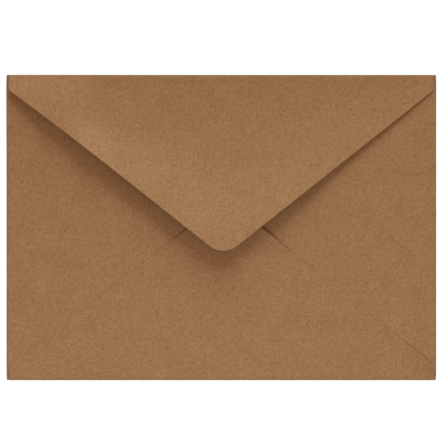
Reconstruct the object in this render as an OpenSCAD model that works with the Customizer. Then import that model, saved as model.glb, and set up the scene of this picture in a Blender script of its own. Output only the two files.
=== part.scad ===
// Kraft envelope with a deep pointed flap, folded and pasted from one die-cut sheet.
// It lies on its address side with the seal flap uppermost and left open. Millimetres.
// The origin is the middle of the face that it rests on. X runs along the mouth, and +Y is
// towards the mouth.

/* [Envelope] */
// Width, along the mouth
envelope_w = 176; // [150:1:220]
// Height, from the bottom fold to the mouth
envelope_h = 125; // [104:1:155]
// Thickness of the kraft paper
paper_t = 0.15; // [0.12:0.01:0.2]
// Clear depth of the empty pocket
pocket_gap = 0.7; // [0.4:0.1:1.5]

/* [Shoulders of the seal and bottom flaps] */
// Height of the upright shoulder at each end of a fold
shoulder_h = 6.2; // [3:0.2:10]
// Distance from a shoulder to the side fold
shoulder_inset = 1; // [0.6:0.1:3]
// Radius of the corner between a shoulder and the sloping edge
shoulder_r = 2.2; // [0.5:0.1:5]

/* [Seal flap] */
// How far below the envelope's middle its straight edges would meet
seal_drop = 11.9; // [4:0.1:24]
// Sideways offset of its point
seal_offset = 0.8; // [-4:0.1:4]
// Radius of its rounded point
seal_point_r = 9.2; // [4:0.2:16]
// Air under the flap where it leaves its fold
seal_air = 0.5; // [0.3:0.1:2]
// Rise of the point above the flat strip beside the fold
seal_rise = 5.9; // [1:0.1:10]
// Width of the flat strip beside the fold, at its narrow left end
seal_flat = 4; // [2:0.5:12]
// Angle between the fold and the line where the curl starts, which lifts the left edge more
curl_turn = 5; // [0:0.5:10]

/* [Bottom flap] */
// How far above the envelope's middle its straight edges would meet
bottom_reach = 11.6; // [4:0.1:24]
// Sideways offset of its point
bottom_offset = 2; // [-4:0.1:4]
// Radius of its rounded point
bottom_point_r = 9.2; // [4:0.2:16]
// Length of the point that the pasted seams leave loose
loose_l = 19; // [8:1:24]
// Rise of the loose point, as a share of the clear height under the seal flap there
loose_share = 0.65; // [0.1:0.05:0.9]

/* [Side flaps] */
// Distance from each end of a side fold to the corner
corner_gap = 2.5; // [1.5:0.1:5]
// How far above the envelope's middle the throat's two edges would meet
throat_rise = 12.5; // [8:0.5:20]
// Distance of a side flap's blunt end from the middle line
end_gap = 6; // [2:0.5:15]
// Radius of the two corners of the blunt end
end_r = 8; // [2:0.5:10]
// Width of the lap under the bottom flap, at the blunt end
seam_lap = 12; // [9:0.5:16]

/* [Pasted seams] */
// Thickness of the dried paste
paste_t = 0.05; // [0.04:0.01:0.1]
// Width of a pasted strip
paste_w = 6; // [3:0.5:8]
// Bare margin between a pasted strip and the edge of the bottom flap
paste_margin = 1; // [0.5:0.1:2]

/* [Hidden] */

kraft = [0.59, 0.44, 0.30];
arc_steps = 14;
fold_fn = 64;
curl_fn = 1440;

half_w = envelope_w / 2;
half_h = envelope_h / 2;
fold_l = envelope_w - 2 * shoulder_inset;
side_fold_l = envelope_h - 2 * corner_gap;

// Undersides of the flaps, from the front panel upwards
side_z = paper_t + pocket_gap;
bottom_z = side_z + paper_t + paste_t;
seal_z = bottom_z + paper_t + seal_air;

// Outer radius of the half-round fold that carries a flap with its underside at height z
function fold_r(z) = (z + paper_t) / 2;

function unit(v) = v / norm(v);

// Arc of radius r that rounds corner b of an outline running from a over b to c
function corner_arc(a, b, c, r) =
    let (
        back = unit(a - b),
        ahead = unit(c - b),
        half = acos(back * ahead) / 2,
        centre = b + unit(back + ahead) * r / sin(half),
        spoke = b + back * r / tan(half) - centre,
        start = atan2(spoke.y, spoke.x),
        turn = sign(cross(b - a, c - b)) * (180 - 2 * half)
    )
    [
        for (i = [0:arc_steps])
            let (angle = start + turn * i / arc_steps)
            centre + r * [cos(angle), sin(angle)]
    ];

// Closed outline through corners [x, y, r], each rounded to its own radius r
function rounded(corners) =
    let (n = len(corners), points = [for (corner = corners) [corner.x, corner.y]])
    [
        for (i = [0:n - 1])
            each corners[i].z > 0
                ? corner_arc(points[(i + n - 1) % n], points[i], points[(i + 1) % n], corners[i].z)
                : [points[i]]
    ];

// The feet of a pointed flap's sloping edges, for a flap that hangs from a fold at y = 0
function flap_foot(side) = [side * fold_l / 2, -shoulder_h];

// What rounding to radius r takes off the point where the sloping edges would meet
function point_cut(point, r) =
    let (half = acos(unit(flap_foot(-1) - point) * unit(flap_foot(1) - point)) / 2)
    r / sin(half) - r;

seal_point = [seal_offset, -half_h - seal_drop];
seal_tip = seal_point + [0, half_h + point_cut(seal_point, seal_point_r)];

bottom_point = [-bottom_offset, -half_h - bottom_reach];
bottom_tip_y = bottom_reach - point_cut(bottom_point, bottom_point_r);
loose_y = bottom_tip_y - loose_l;

// Where the seal flap's curl starts, and how far from that line a point of the flap lies
curl_start = [-half_w, half_h - seal_flat];
function past_curl(point) = (point - curl_start) * [-sin(curl_turn), -cos(curl_turn)];
seal_run = past_curl(seal_tip);

// Radius of a curl that reaches height rise at distance run
function curl_r(run, rise) = (run * run + rise * rise) / (2 * rise);

// Height that such a curl has reached at the given distance
function curl_height(distance, run, rise) =
    let (r = curl_r(run, rise))
    r - sqrt(r * r - pow(max(distance, 0), 2));

// Rise of the bottom flap's loose point, which stays clear of the seal flap above it
loose_clear = seal_air + curl_height(past_curl([bottom_offset, bottom_tip_y]), seal_run, seal_rise);
loose_rise = loose_share * loose_clear;

// The seam between a side flap and the bottom flap, from its foot near the corner to its head
seam_head = [bottom_offset, bottom_reach];
function seam_foot(side) = [side * fold_l / 2, shoulder_h - half_h];

// Height at x of the straight line through p and q
function height_at(x, p, q) = p.y + (q.y - p.y) * (x - p.x) / (q.x - p.x);

// Pointed flap that hangs from a fold at y = 0, drawn from where the fold's curve ends
module pointed_outline(fold_y, point, point_r)
    polygon(rounded([
        [fold_l / 2, fold_y, 0],
        [-fold_l / 2, fold_y, 0],
        [-fold_l / 2, -shoulder_h, shoulder_r],
        [point.x, point.y, point_r],
        [fold_l / 2, -shoulder_h, shoulder_r]
    ]));

module seal_outline()
    translate([0, half_h])
        pointed_outline(-fold_r(seal_z), seal_point, seal_point_r);

module bottom_outline()
    rotate(180)
        translate([0, half_h])
            pointed_outline(-fold_r(bottom_z), bottom_point, bottom_point_r);

// Right side flap: one edge borders the throat, the other lies hidden under the bottom flap
module side_outline() {
    root = [half_w - fold_r(side_z), side_fold_l / 2];
    middle_head = [0, bottom_reach];
    slope = unit(seam_foot(1) - middle_head);
    lap_drop = seam_lap / slope.x;
    polygon(rounded([
        [root.x, root.y, 0],
        [end_gap, height_at(end_gap, [0, throat_rise], root), end_r],
        [end_gap, height_at(end_gap, middle_head, seam_foot(1)) - lap_drop, end_r],
        [root.x, -root.y, 0]
    ]));
}

// Strip of paste beside the edge of the bottom flap, only where a side flap lies under it
module paste_outline(side) {
    foot = seam_foot(side);
    along = unit(seam_head - foot);
    inward = side * [-along.y, along.x];
    intersection() {
        polygon([
            foot + inward * paste_margin,
            seam_head + inward * paste_margin,
            seam_head + inward * (paste_margin + paste_w),
            foot + inward * (paste_margin + paste_w)
        ]);
        mirror([side > 0 ? 0 : 1, 0])
            side_outline();
        translate([-half_w, -half_h])
            square([envelope_w, half_h + loose_y]);
    }
}

// Half-round fold along X with its outermost line at y = 0, for a flap at height z
module half_fold(z, length) {
    r = fold_r(z);
    rotate([90, 0, 90])
        linear_extrude(length, center = true)
            translate([-r, r])
                intersection() {
                    difference() {
                        circle(r, $fn = fold_fn);
                        circle(r - paper_t, $fn = fold_fn);
                    }
                    translate([0, -r])
                        square([r, 2 * r]);
                }
}

// Sheet with its underside at z = 0: flat where y > 0, and curled up to rise at y = -run
module curled_sheet(run, rise) {
    r = curl_r(run, rise);
    rotate([90, 0, 90])
        linear_extrude(3 * envelope_w, center = true) {
            square([envelope_h, paper_t]);
            intersection() {
                translate([0, r])
                    difference() {
                        circle(r, $fn = curl_fn);
                        circle(r - paper_t, $fn = curl_fn);
                    }
                translate([-2 * run, 0])
                    square([2 * run, r / 2]);
            }
        }
}

module front_panel()
    linear_extrude(paper_t)
        difference() {
            square([envelope_w, envelope_h], center = true);
            for (side = [-1, 1])
                translate([side * half_w, 0])
                    square([2 * fold_r(side_z), side_fold_l], center = true);
            translate([0, half_h])
                square([fold_l, 2 * fold_r(seal_z)], center = true);
            translate([0, -half_h])
                square([fold_l, 2 * fold_r(bottom_z)], center = true);
        }

module side_flap() {
    translate([half_w, 0])
        rotate(-90)
            half_fold(side_z, side_fold_l);
    translate([0, 0, side_z])
        linear_extrude(paper_t)
            side_outline();
}

module bottom_flap() {
    translate([0, -half_h])
        rotate(180)
            half_fold(bottom_z, fold_l);
    translate([0, 0, bottom_z])
        intersection() {
            translate([0, loose_y])
                rotate(180)
                    curled_sheet(loose_l, loose_rise);
            linear_extrude(2 * loose_clear)
                bottom_outline();
        }
}

module pasted_seams()
    translate([0, 0, bottom_z - paste_t])
        linear_extrude(paste_t)
            for (side = [-1, 1])
                paste_outline(side);

module seal_flap() {
    translate([0, half_h])
        half_fold(seal_z, fold_l);
    translate([0, 0, seal_z])
        intersection() {
            translate(curl_start)
                rotate(-curl_turn)
                    curled_sheet(seal_run, seal_rise);
            linear_extrude(2 * seal_rise)
                seal_outline();
        }
}

module envelope()
    color(kraft)
        union() {
            front_panel();
            side_flap();
            mirror([1, 0])
                side_flap();
            pasted_seams();
            bottom_flap();
            seal_flap();
        }

envelope();
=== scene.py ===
"""A kraft paper envelope with a deep pointed flap: its folded sheet, its paper and its studio."""

import math

import bmesh
import bpy
import numpy as np
from bpy.props import FloatProperty, FloatVectorProperty, PointerProperty
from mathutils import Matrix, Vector


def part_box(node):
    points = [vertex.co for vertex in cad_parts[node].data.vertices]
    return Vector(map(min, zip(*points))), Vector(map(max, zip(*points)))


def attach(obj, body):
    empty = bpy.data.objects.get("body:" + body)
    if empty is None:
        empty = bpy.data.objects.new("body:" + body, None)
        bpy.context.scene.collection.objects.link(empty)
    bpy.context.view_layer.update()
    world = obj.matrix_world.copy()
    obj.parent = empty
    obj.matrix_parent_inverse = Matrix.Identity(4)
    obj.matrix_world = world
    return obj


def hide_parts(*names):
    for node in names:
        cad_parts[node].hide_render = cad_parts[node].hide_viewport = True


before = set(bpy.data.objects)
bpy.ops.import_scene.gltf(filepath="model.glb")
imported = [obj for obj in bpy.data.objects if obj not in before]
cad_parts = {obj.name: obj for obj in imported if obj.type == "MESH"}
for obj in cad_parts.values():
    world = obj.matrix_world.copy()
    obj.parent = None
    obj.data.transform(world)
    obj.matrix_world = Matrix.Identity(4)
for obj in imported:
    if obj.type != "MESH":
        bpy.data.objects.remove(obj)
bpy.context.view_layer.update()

bl_info = {
    "name": "Kraft Envelope",
    "version": (1, 0, 0),
    "blender": (4, 5, 0),
    "location": "3D View > Sidebar > Envelope",
    "description": "Folds a paper envelope from one sheet and lights it on a pale table",
    "category": "Add Mesh",
}

MM = 0.001
NODE = "envelope"
PIECE = "envelope_sheet"
SLOT = "kraft_paper"
BODY = "root"
# Point attribute with each point's place on the flat blank
BLANK = "blank"
# Points of neighbouring patches that lie closer than this are one point
WELD = 0.001 * MM
# Edges that turn more than this are cut edges of the paper
CUT_EDGE = math.radians(50.0)
# Just below the sheet, which would otherwise touch the table in one plane
TABLE_LEVEL = -0.02 * MM
# Directions of the paper's fibres, in degrees
FIBRE_TURNS = (15.0, 75.0, 140.0)
# Noise levels at which a dark or pale speck begins to show, and shows fully
SPECK_MASK = (0.18, 0.27)
PALE_MASK = (0.2, 0.3)
# Share of a crease's width that is fully dark
CREASE_CORE = 0.4
BLACK = (0.0, 0.0, 0.0, 1.0)
WHITE = (1.0, 1.0, 1.0, 1.0)
CAD_LOW, CAD_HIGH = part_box(NODE)


def length(name, description, millimetres):
    """A property that holds a length, given here in millimetres."""
    return FloatProperty(
        name=name,
        description=description,
        default=millimetres * MM,
        unit="LENGTH",
        precision=5,
    )


def number(name, description, default):
    """A property that holds a plain number."""
    return FloatProperty(name=name, description=description, default=default, precision=4)


def angle(name, description, degrees):
    """A property that holds an angle, given here in degrees."""
    return FloatProperty(
        name=name,
        description=description,
        default=math.radians(degrees),
        subtype="ANGLE",
        unit="ROTATION",
    )


def colour(name, description, default):
    """A property that holds a linear colour."""
    return FloatVectorProperty(
        name=name,
        description=description,
        default=default,
        subtype="COLOR",
        min=0.0,
        max=1.0,
    )


class EnvelopeSheet(bpy.types.PropertyGroup):
    """Sizes of the die-cut sheet and of the pocket folded from it."""

    width: length("Width", "Width along the mouth", (CAD_HIGH[0] - CAD_LOW[0]) / MM)
    height: length("Height", "From bottom fold to mouth", (CAD_HIGH[1] - CAD_LOW[1]) / MM)
    paper: length("Paper", "Thickness of the kraft paper", 0.15)
    shoulder_height: length("Shoulder Height", "Upright shoulder at each end of a flap", 6.2)
    shoulder_inset: length("Shoulder Inset", "From a shoulder to the side fold", 1.0)
    shoulder_radius: length("Shoulder Radius", "Corner between shoulder and slope", 2.2)
    seal_drop: length("Seal Drop", "From the middle down to the seal flap's sharp tip", 11.9)
    seal_offset: length("Seal Offset", "Sideways offset of the seal flap's point", 0.8)
    bottom_reach: length("Bottom Reach", "From the middle up to the bottom flap's sharp tip", 11.6)
    bottom_offset: length("Bottom Offset", "Sideways offset of the bottom flap's point", 2.0)
    point_radius: length("Point Radius", "Rounding of both tips", 9.2)
    corner_gap: length("Corner Gap", "From the end of a side fold to the corner", 2.5)
    corner_round: length("Corner Rounding", "How far each corner of the panel is worn off", 0.3)
    throat_rise: length("Throat Rise", "From the middle up to where the throat's edges meet", 12.5)
    end_gap: length("End Gap", "From a side flap's blunt end to the middle line", 6.0)
    end_radius: length("End Radius", "Corners of a side flap's blunt end", 8.0)
    seam_lap: length("Seam Lap", "Side flap hidden under the bottom flap", 12.0)
    left_bow: length("Left Bow", "Strength of the bow in the seal flap's left edge", 3.1248)


class EnvelopeRelief(bpy.types.PropertyGroup):
    """How far the folded layers spring open, and how the seal flap curls."""

    side_crease: length("Side Crease", "Between panel and side flap, middle to middle", 0.25)
    layer: length("Layer", "Between the middles of two pasted layers", 0.2)
    pillow: length("Pillow", "Air that puffs up the middle of the pocket", 0.3)
    mouth_lift: length("Mouth Lift", "How far the mouth springs up from the table", 0.46)
    mouth_reach: length("Mouth Reach", "Depth over which the mouth springs up", 9.0)
    corner_lift: length("Corner Lift", "How much higher the mouth's left corner stands", 1.1)
    corner_lift_reach: length("Corner Lift Reach", "Depth over which that corner lifts", 50.0)
    seal_crease: length("Seal Crease", "Between panel and seal flap, middle to middle", 0.26)
    left_crease: length("Left Crease", "How much wider the fold is at its left end", 0.25)
    crease_spring: length("Crease Spring", "How much of its width falls off behind it", 0.09)
    crease_reach: length("Crease Reach", "Length over which it falls off", 3.5)
    loose_lift: length("Loose Lift", "How far the bottom flap's loose point stands up", 1.2)
    loose_reach: length("Loose Reach", "Length of the bottom flap's loose point", 19.5)
    loose_tilt: number("Loose Tilt", "How much higher its right edge stands than its middle", 1.1)
    bulge: length("Bulge", "How far the bottom flap bulges below the seal flap's point", 1.2)
    bulge_place: length("Bulge Place", "Upright place of that bulge", -10.0)
    bulge_length: length("Bulge Length", "Upright reach of that bulge", 14.0)
    bulge_width: length("Bulge Width", "Sideways reach of that bulge", 14.0)
    foot_lift: length("Foot Lift", "How far the bottom flap's right foot stands off", 0.48)
    rise_start: length("Rise Start", "Below the mouth, where the seal flap starts to rise", 24.0)
    rise_soft: length("Rise Softness", "Softness of that bend", 7.0)
    rise_tilt: number("Rise Tilt", "How much sooner it rises further right", 0.29)
    rise_slope: number("Rise Slope", "Slope of the seal flap past that bend", 0.092)
    base_slope: number("Base Slope", "Slope of the seal flap's left part beside its fold", 0.046)
    corner_slope: number("Corner Slope", "Slope of the seal flap's lifted left corner", 0.285)
    corner_reach: length("Corner Reach", "Length over which that slope fades", 18.0)
    curl_left: length("Curl Left", "Where the curled strip starts, left of the middle", 63.0)
    curl_top: length("Curl Top", "Where the curled strip starts, below the mouth", 17.6)
    curl_turn: angle("Curl Turn", "Angle between the mouth and the curl's bend", 18.0)
    curl_soft: length("Curl Softness", "Softness of the curl's bend", 4.0)
    curl_slope: number("Curl Slope", "Slope that the curl adds where it is steepest", 0.27)
    curl_point: number("Curl at Point", "Slope that the curl adds at the point", 0.088)
    curl_fade: length("Curl Fade", "Length over which the steep part fades", 17.0)
    curl_level: length("Curl Level", "From the curl's start to where its bend turns level", 63.0)
    point_ease: number("Point Ease", "How much the last of the point flattens again", 0.07)
    point_start: length("Point Start", "Below the mouth, where the point flattens", 60.0)
    sag_start: length("Sag Start", "Below the mouth, where the flap's middle starts to sag", 31.0)
    sag_end: length("Sag End", "Below the mouth, where it stops sagging", 48.0)
    sag_slope: number("Sag Slope", "Slope that the sag takes off", 0.065)


class EnvelopePaper(bpy.types.PropertyGroup):
    """Colour and texture of the kraft paper."""

    dark: colour("Dark Pulp", "Kraft pulp where it is darkest", (0.205, 0.082, 0.019))
    light: colour("Light Pulp", "Kraft pulp where it is lightest", (0.405, 0.218, 0.106))
    speck: colour("Bark Speck", "Dark specks of bark in the pulp", (0.12, 0.05, 0.02))
    pale: colour("Pale Speck", "Pale specks of bleached fibre", (0.62, 0.42, 0.26))
    fleck_size: length("Fleck Size", "Size of the paper's flecks", 0.9)
    speck_size: length("Speck Size", "Size of the dark and pale specks", 0.99)
    clump_size: length("Clump Size", "Size of the clumps that the pulp settles in", 1.5)
    mottle_size: length("Mottle Size", "Size of its cloudy patches", 9.0)
    fibre_size: length("Fibre Size", "Spacing of the fibres", 0.35)
    fibre_stretch: number("Fibre Stretch", "Length of a fibre for its width", 9.0)
    fleck_share: number("Fleck Share", "How much the flecks tint the paper", 0.98)
    clump_share: number("Clump Share", "How much the clumps tint the paper", 0.45)
    mottle_share: number("Mottle Share", "How much the clouds tint the paper", 0.3)
    fibre_share: number("Fibre Share", "How much the fibres tint the paper", 0.35)
    crease_width: length("Crease Width", "Half the width of the darker line on a crease", 1.3)
    crease_share: number("Crease Share", "How much a crease darkens the paper", 0.12)
    relief: length("Relief", "Height of the fibres", 0.012)
    cockle: length("Cockle", "Height of the sheet's gentle waves", 0.05)
    cockle_size: length("Cockle Size", "Width of those waves", 14.0)
    speck_share: number("Speck Share", "How much a dark speck covers the pulp", 0.55)
    pale_share: number("Pale Share", "How much a pale speck covers the pulp", 0.3)
    roughness: number("Roughness", "Roughness of the uncoated paper", 0.85)
    fleck_roughness: number("Fleck Roughness", "How much the flecks change it", 0.1)
    sheen: number("Sheen", "How strongly the paper reflects", 0.3)


class EnvelopeStudio(bpy.types.PropertyGroup):
    """The camera, the table and the lamps."""

    view_width: length("View Width", "Width that the picture takes in", 180.23)
    view_x: length("View X", "Sideways place of the picture's middle", -0.56)
    view_y: length("View Y", "Upright place of the picture's middle", 3.08)
    camera_height: length("Camera Height", "Height of the camera above the table", 1500.0)
    key_level: number("Key Level", "Share of the light on the table from the key lamp", 0.468)
    key_colour: colour("Key Colour", "Cool light of the key lamp", (0.724, 0.917, 1.0))
    key_turn: angle("Key Turn", "Key lamp's turn from the mouth side towards the right", 7.5)
    key_height: angle("Key Height", "Key lamp's angle above the table", 20.0)
    key_distance: length("Key Distance", "Key lamp's distance", 12000.0)
    key_width: length("Key Width", "Key lamp's width", 6300.0)
    fill_level: number("Fill Level", "Share of the light on the table from the fill lamp", 0.291)
    fill_colour: colour("Fill Colour", "Cool light of the fill lamp", (0.591, 0.722, 1.0))
    fill_turn: angle("Fill Turn", "Fill lamp's turn from the mouth side towards the right", 180.0)
    fill_height: angle("Fill Height", "Fill lamp's angle above the table", 50.0)
    fill_distance: length("Fill Distance", "Fill lamp's distance", 300.0)
    fill_width: length("Fill Width", "Fill lamp's width", 200.0)
    room_level: number("Room Level", "Share of the light on the table from the room", 0.472)
    room_colour: colour("Room Colour", "Warm light of the room", (1.0, 0.748, 0.432))
    table_size: length("Table Size", "Side of the table top", 9000.0)
    table_pale: number("Table Pale", "Share of its light that the table throws at the paper", 0.8)
    table_white: number("Table White", "Even white that the camera sees on the table", 0.85)
    table_shade: number("Table Shade", "How much light and shadow it sees there as well", 0.22)


def smooth(value):
    """Goes smoothly from 0 at 0 to 1 at 1."""
    value = np.clip(value, 0.0, 1.0)
    return value * value * (3.0 - 2.0 * value)


def comes_in(value, start, end):
    """Goes smoothly from 0 at start to 1 at end, both given in millimetres."""
    return smooth((value - start * MM) / ((end - start) * MM))


def bend(distance, softness):
    """Stays near 0 below 0, and past a soft bend follows the distance."""
    return (distance + np.hypot(distance, softness)) / 2.0


def unit(vector):
    """The vector, made 1 long."""
    return vector / np.linalg.norm(vector)


def rounded_line(corners, cells):
    """Points along a line whose inner corners (x, y, radius) are rounded.

    cells gives how many steps each straight stretch and each arc takes, in turn.
    """
    points = [np.array(corner[:2], float) for corner in corners]
    line = [points[0]]
    for i in range(1, len(points)):
        arc = []
        if i < len(points) - 1:
            radius = corners[i][2]
            back = unit(points[i - 1] - points[i])
            ahead = unit(points[i + 1] - points[i])
            half = math.acos(np.clip(back @ ahead, -1.0, 1.0)) / 2.0
            centre = points[i] + unit(back + ahead) * radius / math.sin(half)
            start = points[i] + back * radius / math.tan(half) - centre
            cross = back[1] * ahead[0] - back[0] * ahead[1]
            turn = math.copysign(math.pi - 2.0 * half, cross)
            for step in range(cells[2 * i - 1] + 1):
                swing = turn * step / cells[2 * i - 1]
                spoke = np.array([
                    start[0] * math.cos(swing) - start[1] * math.sin(swing),
                    start[0] * math.sin(swing) + start[1] * math.cos(swing),
                ])
                arc.append(centre + spoke)
        target = arc[0] if arc else points[i]
        origin = line[-1]
        for step in range(1, cells[2 * i - 2] + 1):
            line.append(origin + (target - origin) * step / cells[2 * i - 2])
        line.extend(arc[1:])
    return np.array(line)


def two_sides(outline):
    """Both sides of a flap's outline, each from its fold to the flap's end."""
    half = (len(outline) + 1) // 2
    return outline[:half], outline[::-1][:half]


class SheetShape:
    """Heights and outlines of the folded sheet, in metres."""

    # Steps along each straight stretch and arc of a flap's outline, in turn
    POINTED_CELLS = (3, 6, 40, 16, 40, 6, 3)
    BLUNT_CELLS = (40, 8, 1, 8, 40)
    # Steps along the mouth, along a side fold and around a fold
    ACROSS = 104
    ALONG = 72
    FOLD_STEPS = 8
    # Rounds in which a fold and the layers that it joins settle
    SETTLE = 8
    # How level the air keeps the middle of the pocket
    PUFF_POWER = 4
    # Share of its radius that rounding takes off a point
    POINT_CUT = 0.28
    # The most that the loose point's rise may grow past its tip
    LOOSE_MOST = 1.2

    # Where a form comes in from, and is all there, in millimetres left or right of the middle
    PANEL_CORNER_LEFT = (25.0, 80.0)
    FLAP_CORNER_LEFT = (45.0, 72.0)
    CREASE_LEFT = (48.0, 62.0)
    BASE_LEFT = (20.0, 50.0)
    RISE_RIGHT = (-60.0, 0.0)
    SAG_RIGHT = (-22.0, 0.0)
    SAG_LEFT = (-34.0, -4.0)
    FOOT_RIGHT = (69.0, 81.0)
    # The strip beside the bottom flap's right edge that lifts, and where it leaves its fold
    FOOT_STRIP = (-7.0, 0.0)
    FOOT_FOLD = (0.0, 6.0)
    # The start of the curled strip, from its left end
    CURL_IN = (-6.0, 10.0)

    # Half the width of the loose point
    LOOSE_HALF = 25.0 * MM
    # Where the seal flap's rise begins to come sooner, and how softly
    TILT_START = 10.0 * MM
    TILT_SOFT = 10.0 * MM
    # Where the seal flap's left part leaves its fold, how softly, and what its corner takes off
    BASE_START = 5.0 * MM
    BASE_SOFT = 3.0 * MM
    BASE_LOSS = 0.6
    # Length of the curl's steepest part, and how softly its bend turns level
    CURL_STEEP = 12.0 * MM
    CURL_ROUND = 10.0 * MM
    # Softness of the bends where the flap sags and its point eases
    SAG_SOFT = 4.0 * MM
    # Power that moves the bow of the seal flap's left edge towards its fold, and its way in
    BOW_POWER = 1.66
    BOW_WAY = (0.61, 0.79)

    def __init__(self, sheet, relief):
        self.sheet = sheet
        self.relief = relief
        self.half_w = sheet.width / 2.0 - sheet.paper / 2.0
        self.half_h = sheet.height / 2.0 - sheet.paper / 2.0
        self.fold_end = sheet.width / 2.0 - sheet.shoulder_inset
        self.side_end = sheet.height / 2.0 - sheet.corner_gap
        self.bottom_tip = sheet.bottom_reach - self.POINT_CUT * sheet.point_radius

    def panel_height(self, x, y):
        """Middle of the front panel, which springs up at the mouth and at its left corner."""
        relief = self.relief
        below = self.sheet.height / 2.0 - y
        mouth = relief.mouth_lift * np.exp(-below / relief.mouth_reach)
        corner = smooth(1.0 - below / relief.corner_lift_reach)
        corner = corner * comes_in(-x, *self.PANEL_CORNER_LEFT)
        return self.sheet.paper / 2.0 + mouth + relief.corner_lift * corner

    def side_height(self, x, y):
        """Middle of the side flaps, over the air in the pocket."""
        across = (x / (self.half_w - self.relief.side_crease / 2.0)) ** self.PUFF_POWER
        along = (y / self.half_h) ** self.PUFF_POWER
        puff = np.clip(1.0 - across, 0.0, 1.0) * np.clip(1.0 - along, 0.0, 1.0)
        return self.panel_height(x, y) + self.relief.side_crease + self.relief.pillow * puff

    def bottom_height(self, x, y):
        """Middle of the bottom flap, with its loose point, a bulge and its right foot."""
        relief = self.relief
        loose = (y - self.bottom_tip + relief.loose_reach) / relief.loose_reach
        loose = np.clip(loose, 0.0, self.LOOSE_MOST)
        tilt = np.clip(1.0 + relief.loose_tilt * x / self.LOOSE_HALF, 0.0, None)
        sideways = (x / relief.bulge_width) ** 2
        upright = ((y - relief.bulge_place) / relief.bulge_length) ** 2
        return (
            self.side_height(x, y)
            + relief.layer
            + relief.loose_lift * loose * tilt
            + relief.bulge * np.exp(-sideways - upright)
            + relief.foot_lift * self.right_foot(x, y)
        )

    def right_foot(self, x, y):
        """1 at the foot of the bottom flap's right edge, and 0 away from it."""
        head = np.array([self.sheet.bottom_offset, self.sheet.bottom_reach])
        foot = np.array([self.fold_end, self.sheet.shoulder_height - self.sheet.height / 2.0])
        along = unit(foot - head)
        inside = (x - head[0]) * along[1] - (y - head[1]) * along[0]
        beside = comes_in(-inside, *self.FOOT_STRIP) * comes_in(x, *self.FOOT_RIGHT)
        return beside * comes_in(y + self.half_h, *self.FOOT_FOLD)

    def seal_height(self, x, y):
        """Middle of the seal flap: what it does on the way from its fold to its point."""
        below = self.sheet.height / 2.0 - y
        return (
            self.panel_height(x, y)
            + self.seal_crease(x, below)
            + self.seal_rise(x, below)
            + self.seal_corner(x, below)
            + self.seal_curl(x, below)
            - self.seal_sag(x, below)
        )

    def seal_crease(self, x, below):
        """How far the fold holds the flap off the panel."""
        relief = self.relief
        wider = relief.left_crease * comes_in(-x, *self.CREASE_LEFT)
        sprung = relief.crease_spring * (1.0 - np.exp(-below / relief.crease_reach))
        return relief.seal_crease + wider - sprung

    def seal_rise(self, x, below):
        """The even rise of the flap, and the gentler one of its left part."""
        relief = self.relief
        start = relief.rise_start - relief.rise_tilt * bend(x - self.TILT_START, self.TILT_SOFT)
        rise = relief.rise_slope * comes_in(x, *self.RISE_RIGHT)
        base = relief.base_slope * comes_in(-x, *self.BASE_LEFT)
        base = base * (1.0 - self.BASE_LOSS * comes_in(-x, *self.FLAP_CORNER_LEFT))
        rise = rise * bend(below - start, relief.rise_soft)
        return rise + base * bend(below - self.BASE_START, self.BASE_SOFT)

    def seal_corner(self, x, below):
        """The lifted left corner, whose slope fades away from the fold."""
        relief = self.relief
        lift = relief.corner_slope * relief.corner_reach * comes_in(-x, *self.FLAP_CORNER_LEFT)
        return lift * (1.0 - np.exp(-below / relief.corner_reach))

    def seal_curl(self, x, below):
        """The curled strip along the left edge, past a slanting bend that turns level."""
        relief = self.relief
        from_left = x + relief.curl_left
        level = relief.curl_level - bend(relief.curl_level - from_left, self.CURL_ROUND)
        past = (below - relief.curl_top) * math.cos(relief.curl_turn)
        past = past - level * math.sin(relief.curl_turn)
        steep = np.exp(-np.clip(from_left - self.CURL_STEEP, 0.0, None) / relief.curl_fade)
        slope = relief.curl_point + (relief.curl_slope - relief.curl_point) * steep
        return slope * comes_in(from_left, *self.CURL_IN) * bend(past, relief.curl_soft)

    def seal_sag(self, x, below):
        """What the sag in the flap's middle and the easing of its point take off."""
        relief = self.relief
        ease = relief.point_ease * bend(below - relief.point_start, self.SAG_SOFT)
        sag = bend(below - relief.sag_start, self.SAG_SOFT)
        sag = relief.sag_slope * (sag - bend(below - relief.sag_end, self.SAG_SOFT))
        return ease + sag * comes_in(x, *self.SAG_RIGHT) * comes_in(-x, *self.SAG_LEFT)

    def fold_feet(self, flap_height, fold, outward):
        """Where the half-round fold through the points of fold begins, and its radius there."""
        foot = fold
        for _ in range(self.SETTLE):
            x, y = foot[:, 0], foot[:, 1]
            radius = (flap_height(x, y) - self.panel_height(x, y)) / 2.0
            foot = fold - outward * radius[:, None]
        return foot, radius

    def across(self):
        """Places along the mouth and the bottom fold."""
        return np.linspace(-self.fold_end, self.fold_end, self.ACROSS + 1)

    def along(self):
        """Places along a side fold."""
        return np.linspace(-self.side_end, self.side_end, self.ALONG + 1)


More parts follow.
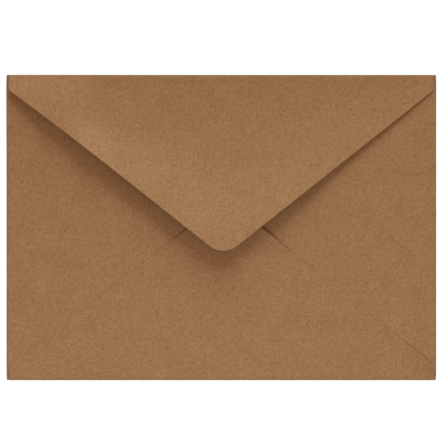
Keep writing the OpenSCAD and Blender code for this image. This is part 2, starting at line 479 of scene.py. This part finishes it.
class FoldedSheet:
    """Collects grids of points that meet edge to edge, and welds them into one sheet."""

    def __init__(self, shape):
        self.shape = shape
        self.points = []
        self.blank = []
        self.faces = []

    def patch(self, points, blank):
        """Adds a grid of points, each with its place on the flat blank."""
        rows, columns = points.shape[:2]
        corner = len(self.points) + np.arange(rows * columns).reshape(rows, columns)
        self.points.extend(points.reshape(-1, 3).tolist())
        self.blank.extend(blank.reshape(-1, 2).tolist())
        quads = np.stack(
            [corner[:-1, :-1], corner[:-1, 1:], corner[1:, 1:], corner[1:, :-1]], -1
        )
        self.faces.extend(quads.reshape(-1, 4).tolist())

    def panel(self):
        """The front panel: a warped grid up to the folds, and the four corners beside them."""
        shape = self.shape
        y_line = shape.along()
        edge_x = shape.half_w - shape.relief.side_crease / 2.0
        x_line = np.concatenate([[-edge_x], shape.across(), [edge_x]])
        top = self.panel_end(shape.seal_height, x_line, 1.0)
        bottom = self.panel_end(shape.bottom_height, x_line, -1.0)
        x = np.repeat(x_line[None, :], len(y_line) + 2, 0)
        y = np.repeat(y_line[:, None], len(x_line), 1)
        self.level(x, np.concatenate([bottom[None, :], y, top[None, :]]))
        for side in (-1, 1):
            for end, rim in ((-1, bottom), (1, top)):
                near, far = (rim[0], rim[1]) if side < 0 else (rim[-1], rim[-2])
                self.corner(side, end, side * edge_x, near, far)

    def panel_end(self, flap_height, x_line, end):
        """Where the panel ends along the mouth (end 1) or the bottom fold (end -1)."""
        fold = np.column_stack([x_line, np.full_like(x_line, end * self.shape.half_h)])
        foot, _ = self.shape.fold_feet(flap_height, fold, np.array([0.0, end]))
        return foot[:, 1]

    def corner(self, side, end, edge_x, near_y, far_y):
        """The bit of the front panel in a corner, beyond both folds."""
        shape = self.shape
        inner_x = side * shape.fold_end
        out_x = side * shape.half_w
        out_y = end * shape.half_h
        worn = shape.sheet.corner_round
        self.level(
            np.array([[edge_x, out_x], [edge_x, out_x]]),
            np.array([[end * shape.side_end] * 2, [near_y, near_y]]),
        )
        self.level(
            np.array([[inner_x, edge_x], [inner_x, edge_x]]),
            np.array([[far_y, near_y], [out_y, out_y]]),
        )
        self.level(
            np.array([[edge_x, out_x], [edge_x, out_x - side * worn]]),
            np.array([[near_y, near_y], [out_y, out_y - end * worn]]),
        )

    def level(self, x, y):
        """A patch of the front panel."""
        height = self.shape.panel_height(x, y)
        self.patch(np.stack([x, y, height], -1), np.stack([x, y], -1))

    def flap(self, outline, flap_height, fold, outward):
        """A fold and the flap that hangs from it.

        fold holds the points (x, y) of the fold's outermost line, and outward is the way out of
        the envelope there.
        """
        shape = self.shape
        foot, radius = shape.fold_feet(flap_height, fold, outward)
        low = shape.panel_height(foot[:, 0], foot[:, 1])
        rows, blanks = [], []
        for step in range(shape.FOLD_STEPS + 1):
            turned = math.pi * step / shape.FOLD_STEPS
            out = foot + outward * (radius * math.sin(turned))[:, None]
            rows.append(np.column_stack([out, low + radius * (1.0 - math.cos(turned))]))
            blanks.append(foot + outward * (radius * turned)[:, None])
        start = blanks[-1]
        left, right = two_sides(outline)
        share = np.linspace(0.0, 1.0, len(fold))[:, None]
        for start_point, end_point in zip(left[1:], right[1:]):
            row = start_point + (end_point - start_point) * share
            rows.append(np.column_stack([row, flap_height(row[:, 0], row[:, 1])]))
            reach = -((row - foot) @ outward)
            blanks.append(start + (row - foot) + 2.0 * outward * reach[:, None])
        self.patch(np.array(rows), np.array(blanks))

    def weld(self, name):
        """Welds the patches and returns the sheet's middle surface as an object."""
        mesh = bpy.data.meshes.new(name)
        mesh.from_pydata(self.points, [], self.faces)
        place = mesh.attributes.new(BLANK, "FLOAT_VECTOR", "POINT")
        flat = np.zeros((len(self.points), 3), np.float32)
        flat[:, :2] = self.blank
        place.data.foreach_set("vector", flat.ravel())
        work = bmesh.new()
        work.from_mesh(mesh)
        bmesh.ops.remove_doubles(work, verts=work.verts, dist=WELD)
        bmesh.ops.recalc_face_normals(work, faces=work.faces)
        for face in work.faces:
            face.smooth = True
        work.to_mesh(mesh)
        work.free()
        piece = bpy.data.objects.new(name, mesh)
        bpy.context.collection.objects.link(piece)
        return piece


class Wire:
    """An output socket of a node, on which Python's operators add Math nodes."""

    def __init__(self, nodes, socket):
        self.nodes = nodes
        self.socket = socket

    def joined(self, operation, first, second):
        """The result of a Math node, or of a Vector Math node where either side is a vector."""
        wires = [value for value in (first, second) if isinstance(value, Wire)]
        vector = any(wire.socket.type in ("VECTOR", "RGBA") for wire in wires)
        kind = "ShaderNodeVectorMath" if vector else "ShaderNodeMath"
        made = self.nodes.add(kind, {"operation": operation}, {0: first, 1: second})
        return Wire(self.nodes, made.outputs[0])

    def __add__(self, other):
        return self.joined("ADD", self, other)

    def __radd__(self, other):
        return self.joined("ADD", other, self)

    def __sub__(self, other):
        return self.joined("SUBTRACT", self, other)

    def __rsub__(self, other):
        return self.joined("SUBTRACT", other, self)

    def __mul__(self, other):
        return self.joined("MULTIPLY", self, other)

    def __rmul__(self, other):
        return self.joined("MULTIPLY", other, self)

    def __abs__(self):
        made = self.nodes.add("ShaderNodeMath", {"operation": "ABSOLUTE"}, {0: self})
        return Wire(self.nodes, made.outputs[0])


class NodeTree:
    """Adds nodes to an empty shader tree."""

    def __init__(self, owner):
        owner.use_nodes = True
        self.tree = owner.node_tree
        self.tree.nodes.clear()

    def add(self, kind, settings, sockets):
        """Adds a node, sets its settings, and then sets or links its input sockets."""
        made = self.tree.nodes.new(kind)
        for name, value in settings.items():
            setattr(made, name, value)
        for name, value in sockets.items():
            if isinstance(value, Wire):
                self.tree.links.new(value.socket, made.inputs[name])
            else:
                made.inputs[name].default_value = value
        return made

    def out(self, kind, settings, sockets, output=0):
        """Adds a node and returns one of its outputs."""
        return Wire(self, self.add(kind, settings, sockets).outputs[output])

    def noise(self, place, size, detail=1.0, roughness=0.5):
        """Soft noise around 0, with features of that size."""
        made = self.out(
            "ShaderNodeTexNoise",
            {"noise_dimensions": "3D"},
            {"Vector": place, "Scale": 1.0 / size, "Detail": detail, "Roughness": roughness},
        )
        return made - 0.5

    def turned(self, place, degrees):
        """The place, turned about Z and shifted so that each turn shows other noise."""
        return self.out(
            "ShaderNodeMapping",
            {},
            {
                "Vector": place,
                "Rotation": (0.0, 0.0, math.radians(degrees)),
                "Location": (degrees * MM, 0.0, degrees * MM),
            },
        )

    def blend(self, factor, first, second):
        """Mixes two colours."""
        return self.out(
            "ShaderNodeMix",
            {"data_type": "RGBA", "clamp_factor": True},
            {0: factor, 6: first, 7: second},
            2,
        )

    def above(self, value, start, end):
        """A mask that goes from 0 at start to 1 at end."""
        return self.out(
            "ShaderNodeMapRange",
            {"interpolation_type": "SMOOTHSTEP", "clamp": True},
            {"Value": value, "From Min": start, "From Max": end},
        )


def kraft_paper(paper, sheet):
    """Uncoated kraft paper: flecked brown pulp, fine fibres and a few specks of bark."""
    material = bpy.data.materials.new(SLOT)
    nodes = NodeTree(material)
    place = nodes.out("ShaderNodeAttribute", {"attribute_name": BLANK}, {}, 1)

    fleck = nodes.noise(place, paper.fleck_size, detail=3.0, roughness=0.65)
    clump = nodes.noise(place, paper.clump_size)
    mottle = nodes.noise(place, paper.mottle_size, detail=3.0, roughness=0.6)
    drawn = (1.0 / paper.fibre_stretch, 1.0, 1.0)
    fibres = sum(
        nodes.noise(nodes.turned(place, degrees) * drawn, paper.fibre_size)
        for degrees in FIBRE_TURNS
    )

    width = paper.crease_width
    across = nodes.out("ShaderNodeSeparateXYZ", {}, {"Vector": place}, 0)
    along = nodes.out("ShaderNodeSeparateXYZ", {}, {"Vector": place}, 1)
    core = CREASE_CORE * width
    beside_side = nodes.above(abs(abs(across) - sheet.width / 2.0), core, width)
    beside_end = nodes.above(abs(abs(along) - sheet.height / 2.0), core, width)
    crease = 1.0 - beside_side * beside_end

    shade = fleck * paper.fleck_share + clump * paper.clump_share + mottle * paper.mottle_share
    shade = shade + fibres * paper.fibre_share + 0.5
    pulp = nodes.blend(shade, (*paper.dark, 1.0), (*paper.light, 1.0))
    speck = nodes.noise(place, paper.speck_size)
    dark_speck = nodes.above(speck, *SPECK_MASK) * paper.speck_share
    pale_speck = nodes.above(0.0 - speck, *PALE_MASK) * paper.pale_share
    pulp = nodes.blend(dark_speck, pulp, (*paper.speck, 1.0))
    pulp = nodes.blend(pale_speck, pulp, (*paper.pale, 1.0))
    pulp = nodes.blend(crease * paper.crease_share, pulp, (*paper.speck, 1.0))

    cockle = nodes.noise(place, paper.cockle_size)
    surface = (fibres + fleck) * paper.relief + cockle * paper.cockle
    normal = nodes.out("ShaderNodeBump", {}, {"Height": surface, "Distance": 1.0})
    shader = nodes.out(
        "ShaderNodeBsdfPrincipled",
        {},
        {
            "Base Color": pulp,
            "Roughness": fleck * paper.fleck_roughness + paper.roughness,
            "Normal": normal,
            "Specular IOR Level": paper.sheen,
        },
    )
    nodes.add("ShaderNodeOutputMaterial", {}, {"Surface": shader})
    return material


class ENVELOPE_OT_fold(bpy.types.Operator):
    """Fold the envelope from its sheet of kraft paper"""

    bl_idname = "envelope.fold"
    bl_label = "Fold Envelope"

    def execute(self, context):
        scene = context.scene
        shape = SheetShape(scene.envelope_sheet, scene.envelope_relief)
        sheet = FoldedSheet(shape)
        sheet.panel()
        self.side_flaps(sheet)
        self.bottom_flap(sheet)
        self.seal_flap(sheet)
        piece = sheet.weld(PIECE)
        self.thicken(context, piece, scene.envelope_sheet.paper)
        piece.data.materials.append(kraft_paper(scene.envelope_paper, scene.envelope_sheet))
        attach(piece, BODY)
        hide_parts(NODE)
        return {"FINISHED"}

    def side_flaps(self, sheet):
        """Both side flaps, whose blunt ends leave the throat open between them."""
        shape, sizes = sheet.shape, sheet.shape.sheet
        root = shape.half_w - shape.relief.side_crease / 2.0
        throat = np.array([0.0, sizes.throat_rise])
        head = np.array([0.0, sizes.bottom_reach])
        foot = np.array([shape.fold_end, sizes.shoulder_height - sizes.height / 2.0])
        lap = sizes.seam_lap / unit(foot - head)[0]

        def on_line(start, end):
            share = (sizes.end_gap - start[0]) / (end[0] - start[0])
            return start[1] + (end[1] - start[1]) * share

        upper = on_line(throat, (root, shape.side_end))
        lower = on_line(head, foot) - lap
        for side in (-1.0, 1.0):
            outline = rounded_line(
                [
                    (side * root, -shape.side_end, 0.0),
                    (side * sizes.end_gap, lower, sizes.end_radius),
                    (side * sizes.end_gap, upper, sizes.end_radius),
                    (side * root, shape.side_end, 0.0),
                ],
                shape.BLUNT_CELLS,
            )
            line = shape.along()
            fold = np.column_stack([np.full(len(line), side * shape.half_w), line])
            sheet.flap(outline, shape.side_height, fold, np.array([side, 0.0]))

    def pointed(self, shape, end, point):
        """Outline of the pointed flap at the mouth (end 1) or the bottom fold (end -1)."""
        sizes = shape.sheet
        root = end * shape.half_h
        shoulder = end * (sizes.height / 2.0 - sizes.shoulder_height)
        return rounded_line(
            [
                (-shape.fold_end, root, 0.0),
                (-shape.fold_end, shoulder, sizes.shoulder_radius),
                (*point, sizes.point_radius),
                (shape.fold_end, shoulder, sizes.shoulder_radius),
                (shape.fold_end, root, 0.0),
            ],
            shape.POINTED_CELLS,
        )

    def bottom_flap(self, sheet):
        """The bottom flap, pasted over the side flaps."""
        shape, sizes = sheet.shape, sheet.shape.sheet
        outline = self.pointed(shape, -1.0, (sizes.bottom_offset, sizes.bottom_reach))
        line = shape.across()
        fold = np.column_stack([line, np.full(len(line), -shape.half_h)])
        sheet.flap(outline, shape.bottom_height, fold, np.array([0.0, -1.0]))

    def seal_flap(self, sheet):
        """The seal flap, whose left edge bows in because it curls up."""
        shape, sizes = sheet.shape, sheet.shape.sheet
        outline = self.pointed(shape, 1.0, (sizes.seal_offset, -sizes.seal_drop))
        share = np.clip((outline[:, 0] + shape.fold_end) / shape.fold_end, 0.0, 1.0)
        bow = sizes.left_bow * share * (1.0 - share) ** shape.BOW_POWER
        outline = outline + bow[:, None] * np.array(shape.BOW_WAY)
        line = shape.across()
        fold = np.column_stack([line, np.full(len(line), shape.half_h)])
        sheet.flap(outline, shape.seal_height, fold, np.array([0.0, 1.0]))

    def thicken(self, context, piece, paper):
        """Gives the middle surface the paper's thickness, with crisp cut edges."""
        solidify = piece.modifiers.new("paper", "SOLIDIFY")
        solidify.thickness = paper
        solidify.offset = 0.0
        context.view_layer.objects.active = piece
        piece.select_set(True)
        bpy.ops.object.modifier_apply(modifier=solidify.name)
        piece.data.set_sharp_from_angle(angle=CUT_EDGE)


class ENVELOPE_OT_stage(bpy.types.Operator):
    """Set the camera, the pale table and the studio lamps"""

    bl_idname = "envelope.stage"
    bl_label = "Set Stage"

    def execute(self, context):
        studio = context.scene.envelope_studio
        context.scene.view_settings.view_transform = "Standard"
        self.table(context, studio)
        self.room(context, studio)
        for name in ("key", "fill"):
            self.lamp(context, studio, name)
        self.camera(context, studio)
        return {"FINISHED"}

    def seen(self, nodes):
        """1 for rays that show the surface or its reflection, and 0 for rays that only light."""
        path = nodes.add("ShaderNodeLightPath", {}, {})
        seen = Wire(nodes, path.outputs["Is Camera Ray"])
        for name in ("Is Glossy Ray", "Is Transmission Ray"):
            seen = seen.joined("MAXIMUM", seen, Wire(nodes, path.outputs[name]))
        return seen

    def table(self, context, studio):
        """A pale table top, white to the camera apart from the shadows on it."""
        half = studio.table_size / 2.0
        mesh = bpy.data.meshes.new("table_top")
        mesh.from_pydata(
            [(x * half, y * half, TABLE_LEVEL) for x, y in ((-1, -1), (1, -1), (1, 1), (-1, 1))],
            [],
            [(0, 1, 2, 3)],
        )
        material = bpy.data.materials.new("pale_table")
        nodes = NodeTree(material)
        seen = self.seen(nodes)
        shade = seen * (studio.table_shade - studio.table_pale) + studio.table_pale
        tint = nodes.blend(shade, BLACK, WHITE)
        plain = nodes.out("ShaderNodeBsdfDiffuse", {}, {"Color": tint})
        glow = {"Color": WHITE, "Strength": seen * studio.table_white}
        white = nodes.out("ShaderNodeEmission", {}, glow)
        both = nodes.out("ShaderNodeAddShader", {}, {0: plain, 1: white})
        nodes.add("ShaderNodeOutputMaterial", {}, {"Surface": both})
        mesh.materials.append(material)
        table = bpy.data.objects.new("table_top", mesh)
        context.collection.objects.link(table)

    def room(self, context, studio):
        """Warm light from all around, which looks white to the camera."""
        world = bpy.data.worlds.new("pale_room")
        nodes = NodeTree(world)
        seen = self.seen(nodes)
        tint = nodes.blend(seen, (*studio.room_colour, 1.0), WHITE)
        strength = seen * (1.0 - studio.room_level) + studio.room_level
        sky = nodes.out("ShaderNodeBackground", {}, {"Color": tint, "Strength": strength})
        nodes.add("ShaderNodeOutputWorld", {}, {"Surface": sky})
        context.scene.world = world

    def lamp(self, context, studio, name):
        """A round soft lamp that lights a level sheet to its share of full brightness."""
        level, tint, turn, height, distance, width = (
            getattr(studio, name + "_" + part)
            for part in ("level", "colour", "turn", "height", "distance", "width")
        )
        light = bpy.data.lights.new(name + "_lamp", "AREA")
        light.shape = "DISK"
        light.size = width
        light.color = tint
        spread = distance**2 + width**2 / 4.0
        light.energy = level * math.pi**2 * spread / math.sin(height)
        lamp = bpy.data.objects.new(name + "_lamp", light)
        away = Vector((
            math.sin(turn) * math.cos(height),
            math.cos(turn) * math.cos(height),
            math.sin(height),
        ))
        lamp.location = away * distance
        lamp.rotation_mode = "QUATERNION"
        lamp.rotation_quaternion = away.to_track_quat("Z", "Y")
        lamp.visible_camera = False
        context.collection.objects.link(lamp)

    def camera(self, context, studio):
        """A distant camera straight above the envelope."""
        lens = bpy.data.cameras.new("camera")
        lens.lens = lens.sensor_width * studio.camera_height / studio.view_width
        lens.clip_end = 2.0 * studio.camera_height
        camera = bpy.data.objects.new("camera", lens)
        camera.location = (studio.view_x, studio.view_y, studio.camera_height)
        context.collection.objects.link(camera)
        context.scene.camera = camera


class ENVELOPE_PT_panel(bpy.types.Panel):
    """Lists the envelope's sizes, its paper and its studio"""

    bl_label = "Envelope"
    bl_idname = "ENVELOPE_PT_panel"
    bl_space_type = "VIEW_3D"
    bl_region_type = "UI"
    bl_category = "Envelope"

    def draw(self, context):
        for operator in OPERATORS:
            self.layout.operator(operator.bl_idname)
        for name, group in GROUPS.items():
            settings = getattr(context.scene, name)
            box = self.layout.box()
            box.label(text=group.__doc__)
            for key in group.__annotations__:
                box.prop(settings, key)


GROUPS = {
    "envelope_sheet": EnvelopeSheet,
    "envelope_relief": EnvelopeRelief,
    "envelope_paper": EnvelopePaper,
    "envelope_studio": EnvelopeStudio,
}
OPERATORS = (ENVELOPE_OT_fold, ENVELOPE_OT_stage)
CLASSES = (*GROUPS.values(), *OPERATORS, ENVELOPE_PT_panel)


def register():
    for cls in CLASSES:
        bpy.utils.register_class(cls)
    for name, group in GROUPS.items():
        setattr(bpy.types.Scene, name, PointerProperty(type=group))


def unregister():
    for name in GROUPS:
        delattr(bpy.types.Scene, name)
    for cls in reversed(CLASSES):
        bpy.utils.unregister_class(cls)


def main():
    """Folds the envelope and sets its stage."""
    register()
    bpy.ops.envelope.fold()
    bpy.ops.envelope.stage()


if __name__ == "__main__":
    main()
